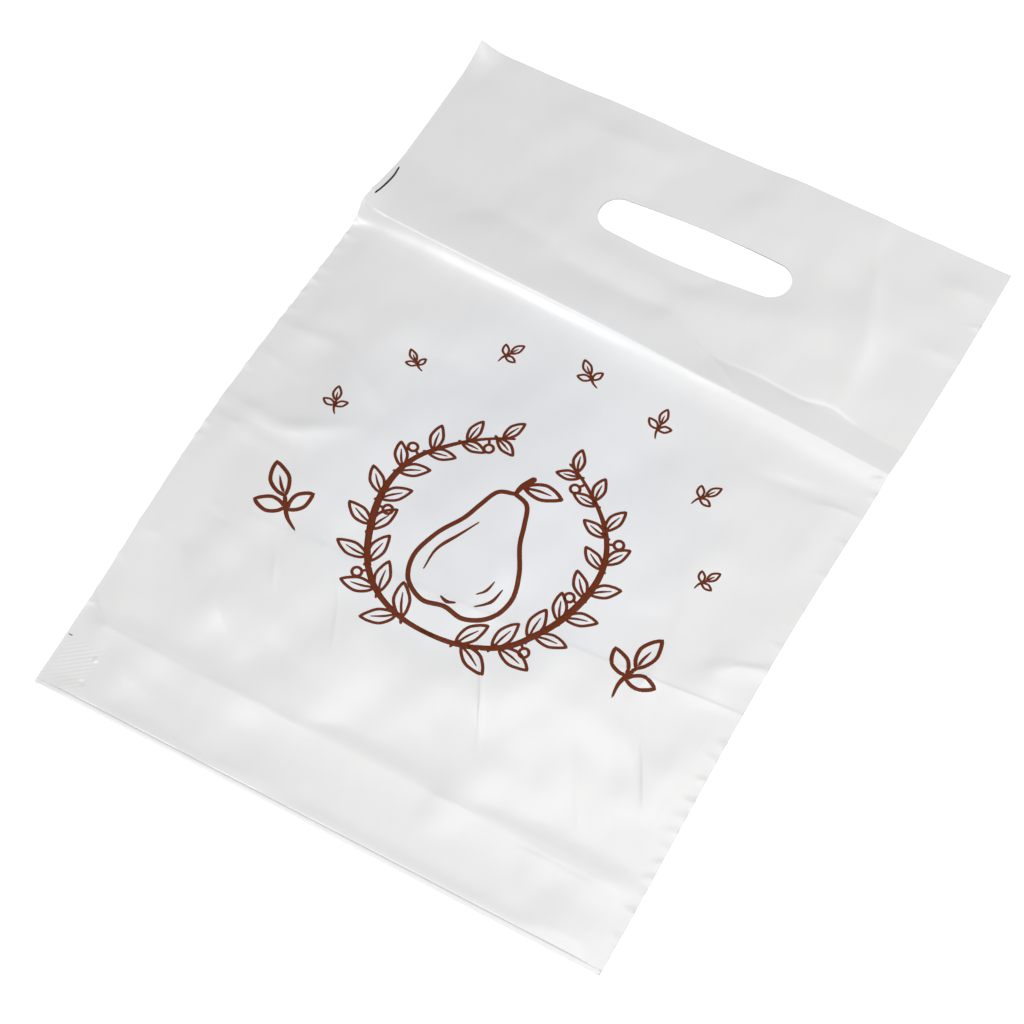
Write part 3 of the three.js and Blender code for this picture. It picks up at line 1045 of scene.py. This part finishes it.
def weld_tree():
    """Makes a bead along the edges it is given, uneven by the given share, standing on their underside."""
    sockets = (("Unevenness", "Float"), ("Seed", "Float"), ("Film", "Material"))
    tree, given, made = geometry_tree("weld_bead", sockets)
    line = result(tree, "GeometryNodeMeshToCurve", (("Mesh", given["Geometry"]),))
    place = result(tree, "GeometryNodeInputPosition")
    noise = noise_node(tree, place, 650.0, 2.0, ("W", given["Seed"]), noise_dimensions="4D")
    swing = swings(tree, noise, given["Unevenness"])
    thick = math_node(tree, "MULTIPLY", math_node(tree, "ADD", swing, 1.0), named(tree, "half_width"))
    inputs = (("Geometry", line), ("Offset", vector(tree, 0, 0, thick)))
    raised = result(tree, "GeometryNodeSetPosition", inputs)
    circle = result(tree, "GeometryNodeCurvePrimitiveCircle", (("Resolution", 8), ("Radius", 1.0)))
    return end_tree(tree, made, swept(tree, raised, circle, thick), given["Film"])


def weld_beads(material):
    """The melted rim along both sides, round all the layers that end there."""
    along = np.arange(BACK_FOLD + 0.2, BAG_LENGTH - 0.2, 1.0)
    chains, values = [], []
    for across in (0.0, BAG_WIDTH):
        edge = across + 0 * along
        back = folded(edge, back_run(along))
        front = folded(edge, front_run(np.maximum(along, FRONT_FOLD + 0.3)))
        half = (front[:, 2] - back[:, 2]) / MM / 2 + FILM_THICKNESS / 2 + BEAD_OVER
        underside = back - (0, 0, (FILM_THICKNESS / 2 - BEAD_RAISED) * MM)
        chains.append((underside, False))
        values.append(np.minimum(half, BEAD_HALF_MOST))
    piece = new_object("weld_beads", edge_mesh("weld_beads", chains, values))
    return built(piece, weld_tree(), {"Unevenness": 0.5, "Seed": 3.0, "Film": material})


def shader(name, base, roughness):
    """A new material with a Principled shader, and the tree that a look is built in."""
    material = bpy.data.materials.new(name)
    material.use_nodes = True
    tree = material.node_tree
    principled = tree.nodes["Principled BSDF"]
    feed(tree, principled, (("Base Color", (*base, 1)), ("Roughness", roughness)))
    return material, tree, principled


def feed(tree, node, inputs):
    """Gives a node its inputs, each a socket's name or number with its value or its source."""
    for socket, value in inputs:
        if isinstance(value, bpy.types.NodeSocket):
            tree.links.new(value, node.inputs[socket])
        else:
            node.inputs[socket].default_value = value


def add_node(tree, kind, inputs=(), **settings):
    made = tree.nodes.new(kind)
    for name, value in settings.items():
        setattr(made, name, value)
    feed(tree, made, inputs)
    return made


def result(tree, kind, inputs=(), **settings):
    """The first output of a new node."""
    return add_node(tree, kind, inputs, **settings).outputs[0]


def math_node(tree, operation, first, second, third=0.0, clamp=False):
    values = ((0, first), (1, second), (2, third))
    return result(tree, "ShaderNodeMath", values, operation=operation, use_clamp=clamp)


def weighted(tree, base, *parts):
    """The sum of base and of each part times its weight."""
    for value, weight in parts:
        base = math_node(tree, "MULTIPLY_ADD", value, weight, base)
    return base


def bump(tree, height, distance, strength):
    inputs = (("Height", height), ("Distance", distance * MM), ("Strength", strength))
    return result(tree, "ShaderNodeBump", inputs)


def noise_node(tree, place, scale, detail, *more, **settings):
    inputs = (("Vector", place), ("Scale", scale), ("Detail", detail), *more)
    return result(tree, "ShaderNodeTexNoise", inputs, **settings)


def swings(tree, noise, share):
    """A noise made to swing about 0, times a share."""
    return math_node(tree, "MULTIPLY", math_node(tree, "SUBTRACT", noise, 0.5), share)


def blend(tree, share, first, second):
    inputs = (("Factor", share), ("A", first), ("B", second))
    return add_node(tree, "ShaderNodeMix", inputs, data_type="RGBA").outputs["Result"]


def film_look():
    """Node group: the film's tint, roughness and fine relief at a place in metres."""
    tree, given, made = tree_with(
        "ShaderNodeTree", "film_look", (("Place", "Vector"), ("Cool Zone", "Float")),
        (("Color", "Color"), ("Roughness", "Float"), ("Relief", "Float")))

    def noise(scale, detail, stretch=(1, 1, 1), turn=0.0, kind="POINT"):
        inputs = (("Vector", given["Place"]), ("Rotation", (0, 0, turn)), ("Scale", stretch))
        return noise_node(tree, result(tree, "ShaderNodeMapping", inputs, vector_type=kind), scale, detail)

    wrinkles = noise(110.0, 1.0, (WRINKLE_STRETCH, 1, 1), WRINKLE_TURN, "TEXTURE")
    clouds = noise(22.0, 4.0)
    drawn_out = noise(320.0, 3.0, (1, 0.06, 1))
    grain = noise(2600.0, 2.0)
    shade = result(tree, "ShaderNodeHueSaturation", (
        ("Color", blend(tree, given["Cool Zone"], WARM_FILM, COOL_FILM)),
        ("Value", weighted(tree, 0.965, (clouds, 0.05), (drawn_out, 0.02))),
    ))
    tree.links.new(shade, made["Color"])
    tree.links.new(weighted(tree, 0.31, (clouds, 0.10), (drawn_out, 0.05)), made["Roughness"])
    relief = weighted(tree, 0.0, (drawn_out, 0.8), (grain, 0.35), (wrinkles, WRINKLE_DEPTH))
    tree.links.new(relief, made["Relief"])
    return tree


def film_material():
    material, tree, principled = shader("white_film", WARM_FILM[:3], 0.38)
    place = add_node(tree, "ShaderNodeTexCoord").outputs["Object"]
    centre = (COOL_CENTRE[0] * MM + LOW.x, COOL_CENTRE[1] * MM + LOW.y, 0)
    away = add_node(tree, "ShaderNodeVectorMath", ((0, place), (1, centre)), operation="DISTANCE")
    cool = result(tree, "ShaderNodeMapRange", (
        ("Value", away.outputs["Value"]),
        ("From Min", 0.3 * COOL_REACH * MM),
        ("From Max", COOL_REACH * MM),
        ("To Min", 1.0),
        ("To Max", 0.0),
    ), interpolation_type="SMOOTHSTEP")
    look = add_node(tree, "ShaderNodeGroup", node_tree=film_look())
    feed(tree, look, (("Place", place), ("Cool Zone", cool)))
    feed(tree, principled, (
        ("Base Color", look.outputs["Color"]),
        ("Roughness", look.outputs["Roughness"]),
        ("Normal", bump(tree, look.outputs["Relief"], 0.02, 0.35)),
        ("IOR", 1.8),
        ("Coat Weight", 0.8),
        ("Coat Roughness", 0.24),
    ))
    return material


def ink_and_shade_material(name, core, edge, roughness):
    """Ink that lies thicker, and so darker, along the edges of each stroke; the same look gives the painted
    shade marks their dark colour.
    """
    material, tree, principled = shader(name, core, roughness)
    rim = add_node(tree, "ShaderNodeAttribute", attribute_name="rim").outputs["Fac"]
    place = add_node(tree, "ShaderNodeTexCoord").outputs["Object"]
    blotch = noise_node(tree, place, 700.0, 3.0)
    dark = math_node(tree, "ADD", rim, swings(tree, blotch, 0.8), clamp=True)
    feed(tree, principled, (
        ("Base Color", blend(tree, dark, (*core, 1), (*edge, 1))),
        ("Specular IOR Level", 0.25),
        ("Normal", bump(tree, blotch, 0.01, 0.3)),
    ))
    return material


def floor():
    """A pale floor that keeps the bag's shadow and is white where the camera sees it."""
    mesh = bpy.data.meshes.new("floor")
    reach = 6.0
    corners = [(-reach, -reach, 0), (reach, -reach, 0), (reach, reach, 0), (-reach, reach, 0)]
    mesh.from_pydata(corners, [], [(0, 1, 2, 3)])
    piece = new_object("floor", mesh)
    material, tree, principled = shader("pale_floor", (0.8, 0.8, 0.8), 0.9)
    path = add_node(tree, "ShaderNodeLightPath").outputs
    seen = math_node(tree, "MAXIMUM", path["Is Camera Ray"], path["Is Glossy Ray"])
    feed(tree, principled, (
        ("Emission Color", (1, 1, 1, 1)),
        ("Emission Strength", math_node(tree, "MULTIPLY", seen, FLOOR_GLOW)),
    ))
    mesh.materials.append(material)


def camera():
    data = bpy.data.cameras.new("camera")
    data.angle = FIELD_OF_VIEW
    data.clip_end = 20
    axes = Matrix((CAMERA_RIGHT, CAMERA_UP, CAMERA_RIGHT.cross(CAMERA_UP))).transposed()
    piece = new_object("camera", data)
    piece.matrix_world = Matrix.Translation(CAMERA_PLACE) @ axes.to_4x4()
    bpy.context.scene.camera = piece


def soft_light(name, place, size, watts):
    data = bpy.data.lights.new(name, "AREA")
    data.shape = "DISK"
    data.size = size
    data.energy = watts
    piece = new_object(name, data)
    piece.location = place
    piece.rotation_euler = (-Vector(place)).to_track_quat("-Z", "Y").to_euler()


def world(strength):
    """Even light from all round, and white behind the scene where the camera sees it."""
    studio = bpy.data.worlds.new("studio")
    bpy.context.scene.world = studio
    studio.use_nodes = True
    tree = studio.node_tree
    seen = add_node(tree, "ShaderNodeLightPath").outputs["Is Camera Ray"]
    lift = result(tree, "ShaderNodeMapRange", (("Value", seen), ("To Min", strength), ("To Max", 1.0)))
    feed(tree, tree.nodes["Background"], (("Color", (1, 1, 1, 1)), ("Strength", lift)))


bpy.context.scene.view_settings.view_transform = "Standard"
camera()
floor()
world(0.425)
soft_light("overhead", (0.0, 0.08, 1.3), 0.5, 1.1)
soft_light("crease_light", (-0.45, -0.38, 1.2), 0.35, 2.8)
soft_light("right", (0.9, 0.05, 0.8), 0.5, 5.2)
soft_light("right_back", (0.8, 0.7, 0.7), 0.5, 0.9)
soft_light("corner", (0.55, -0.6, 0.45), 0.35, 0.6)
soft_light("front_low", (0.3, -1.2, 0.4), 0.5, 2.1)

white_film = film_material()
film = film_piece()
film.data.materials.append(white_film)
beads = weld_beads(white_film)
artwork = print_piece(film)
marks = painted_shade_marks(film)
for piece in (film, beads, artwork, *marks):
    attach(piece, "root")
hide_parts("carrier_bag")
